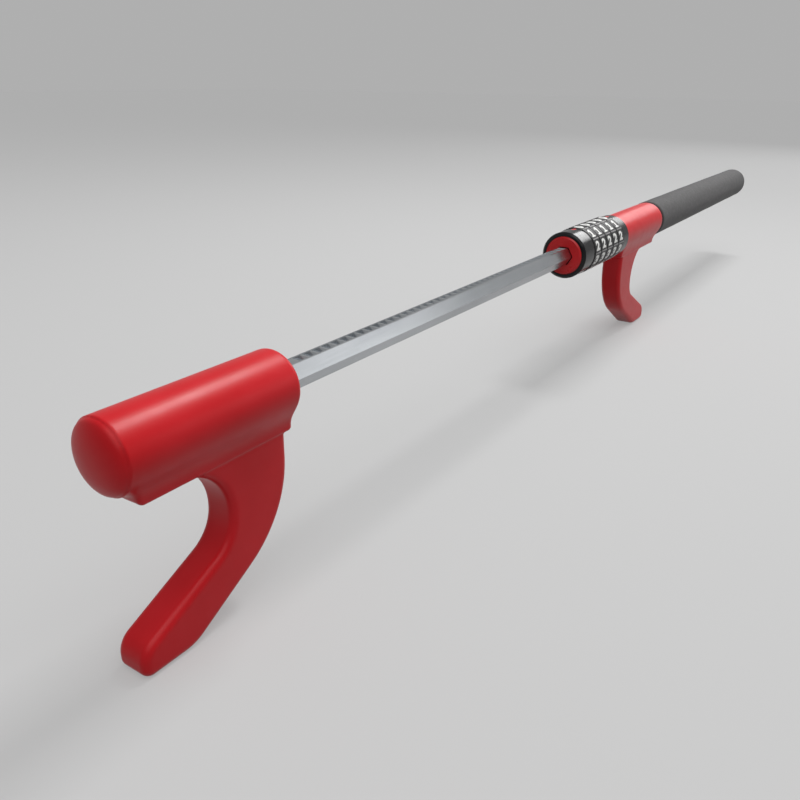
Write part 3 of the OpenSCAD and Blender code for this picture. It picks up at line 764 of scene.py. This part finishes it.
slots = {part["node"]: part["material_slot"] for part in frame["record"]["subparts"]}
for node, obj in frame["nodes"].items():
    dress(obj, slots[node])
for obj in list(bpy.context.scene.objects):
    if "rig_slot" in obj:
        dress(obj, obj["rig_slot"])

# ---------------------------------------------------------------- floor, light and camera
FLOOR_GLOW = 0.31             # what the floor shows of itself to the camera and in reflections
FLOOR_COLOUR = 0.28
FAR_GLOW = 0.43               # the world behind the floor's far edge, seen the same way
DAYLIGHT = 0.20               # the world's light on the object
CAMERA_ANGLES = (-56.2055, 22.9728, 0.6529)  # azimuth, elevation and roll, in degrees
CAMERA_OFFSET = (-123.71 * MM, -194.6 * MM, 110.19 * MM)  # from the rim's centre
LENS = 34.3


def seen_or_mirrored(tree):
    """1 for rays from the camera and for those that a mirror or a glass passes on."""
    path = tree.nodes.new("ShaderNodeLightPath")
    total = path.outputs["Is Camera Ray"]
    for name in ("Is Glossy Ray", "Is Transmission Ray"):
        either = tree.nodes.new("ShaderNodeMath")
        either.operation = "MAXIMUM"
        tree.links.new(total, either.inputs[0])
        tree.links.new(path.outputs[name], either.inputs[1])
        total = either.outputs[0]
    return total


def pale_stage():
    half = 9
    corners = [(-half, -half, 0), (half, -half, 0), (half, half, 0), (-half, half, 0)]
    mesh = mesh_from("floor", corners, [(0, 1, 2, 3)])
    floor = new_object("floor", mesh, smooth=False)
    m = Material("floor_paint", (FLOOR_COLOUR,) * 3, 0.9)
    m.specular(0)
    m.vary_roughness(m.noise(3, 3), 0.86, 0.94)
    m.shader.inputs["Emission Color"].default_value = (1, 1, 1, 1)
    glow = m.node("ShaderNodeMath", operation="MULTIPLY")
    glow.inputs[1].default_value = FLOOR_GLOW
    m.link(seen_or_mirrored(m.tree), glow.inputs[0])
    m.link(glow.outputs[0], m.shader.inputs["Emission Strength"])
    floor.data.materials.append(m.material)


def world():
    made = bpy.data.worlds.new("studio")
    bpy.context.scene.world = made
    made.use_nodes = True
    tree = made.node_tree
    mix = tree.nodes.new("ShaderNodeMix")
    mix.data_type = "RGBA"
    mix.inputs["A"].default_value = (DAYLIGHT, DAYLIGHT, DAYLIGHT, 1)
    mix.inputs["B"].default_value = (FAR_GLOW, FAR_GLOW, FAR_GLOW, 1)
    tree.links.new(seen_or_mirrored(tree), mix.inputs["Factor"])
    tree.links.new(mix.outputs["Result"], tree.nodes["Background"].inputs["Color"])


def place_light(light, place, target):
    obj = bpy.data.objects.new(light.name, light)
    obj.location = place
    direction = Vector(target) - Vector(place)
    obj.rotation_euler = direction.to_track_quat("-Z", "Y").to_euler()
    obj.visible_camera = False
    bpy.context.scene.collection.objects.link(obj)


def softbox(name, place, target, size, power):
    light = bpy.data.lights.new(name, "AREA")
    light.shape = "RECTANGLE"
    light.size, light.size_y = size
    light.energy = power
    place_light(light, place, target)


def broad_sun(place, power):
    """Even light from one side, as wide as a bright ceiling, over the whole floor."""
    light = bpy.data.lights.new("ceiling", "SUN")
    light.energy = power
    light.angle = math.radians(60)
    place_light(light, place, (0, 0, 0))


def camera():
    """A low viewpoint in front of the head, from which the bar runs away to the right."""
    data = bpy.data.cameras.new("camera")
    data.sensor_width = 36
    data.lens = LENS
    data.clip_start = 0.01
    obj = bpy.data.objects.new("camera", data)
    bpy.context.scene.collection.objects.link(obj)
    azimuth, elevation, roll = (math.radians(angle) for angle in CAMERA_ANGLES)
    level = math.cos(elevation)
    back = Vector((math.sin(azimuth) * level, -math.cos(azimuth) * level, math.sin(elevation)))
    right = Vector((0, 0, 1)).cross(back).normalized()
    up = back.cross(right)
    turned_right = math.cos(roll) * right + math.sin(roll) * up
    turned_up = math.cos(roll) * up - math.sin(roll) * right
    turn = Matrix((turned_right, turned_up, back)).transposed().to_4x4()
    place = Vector((RIM_X, 0, BAR_Z)) + Vector(CAMERA_OFFSET)
    obj.matrix_world = Matrix.Translation(place) @ turn
    bpy.context.scene.camera = obj


pale_stage()
world()
softbox("far_softbox", (1.97, -0.16, 0.98), (-0.06, 0, 0.09), (1.1, 0.36), 8)
softbox("high_softbox", (0.44, -0.04, 1.32), (-0.38, 0, 0.08), (0.5, 0.25), 12)
softbox("overhead_softbox", (-0.3, -0.4, 1.2), (-0.1, 0, 0.08), (1.6, 0.5), 3)
softbox("low_softbox", (1.2, -1.5, 0.6), (-0.2, 0, 0.08), (1.1, 0.8), 2.7)
broad_sun((-0.5, -0.45, 1.0), 0.8)
camera()
bpy.context.scene.view_settings.view_transform = "Standard"
